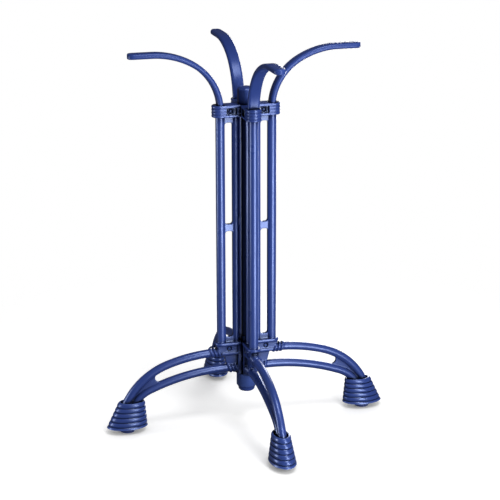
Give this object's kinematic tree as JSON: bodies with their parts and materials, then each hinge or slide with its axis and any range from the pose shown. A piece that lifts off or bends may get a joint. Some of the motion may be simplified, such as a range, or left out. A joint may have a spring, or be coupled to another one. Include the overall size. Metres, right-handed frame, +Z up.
{
  "type": "cast iron table base",
  "caption": "Table base of cast frames round a tie rod, with curved arms to carry a top, paired curved leg bars, ringed feet and glides.",
  "frame": {"origin": "on the floor under the tie rod, level with the undersides of the glides", "axes": "+Z up along the tie rod, +X along the right leg and +Y along the rear leg"},
  "size_m": [0.547, 0.547, 0.72],
  "materials": {
    "blue_casting": "glossy blue paint",
    "blue_bar": "glossy blue paint",
    "glide_plastic": "dark blue plastic"
  },
  "bodies": {
    "root": {"leg_frame_right": "blue_casting", "top_arm_right": "blue_bar", "foot_right": "blue_casting", "glide_right": "glide_plastic", "leg_frame_rear": "blue_casting", "top_arm_rear": "blue_bar", "foot_rear": "blue_casting", "glide_rear": "glide_plastic", "leg_frame_left": "blue_casting", "top_arm_left": "blue_bar", "foot_left": "blue_casting", "glide_left": "glide_plastic", "leg_frame_front": "blue_casting", "top_arm_front": "blue_bar", "foot_front": "blue_casting", "glide_front": "glide_plastic", "tie_rod": "blue_bar", "top_nut": "blue_bar", "bottom_cap": "blue_bar", "top_spider": "blue_bar", "bottom_spider": "blue_bar", "clamp_bolts": "blue_bar", "clamp_nuts": "blue_bar"}
  },
  "joints": []
}
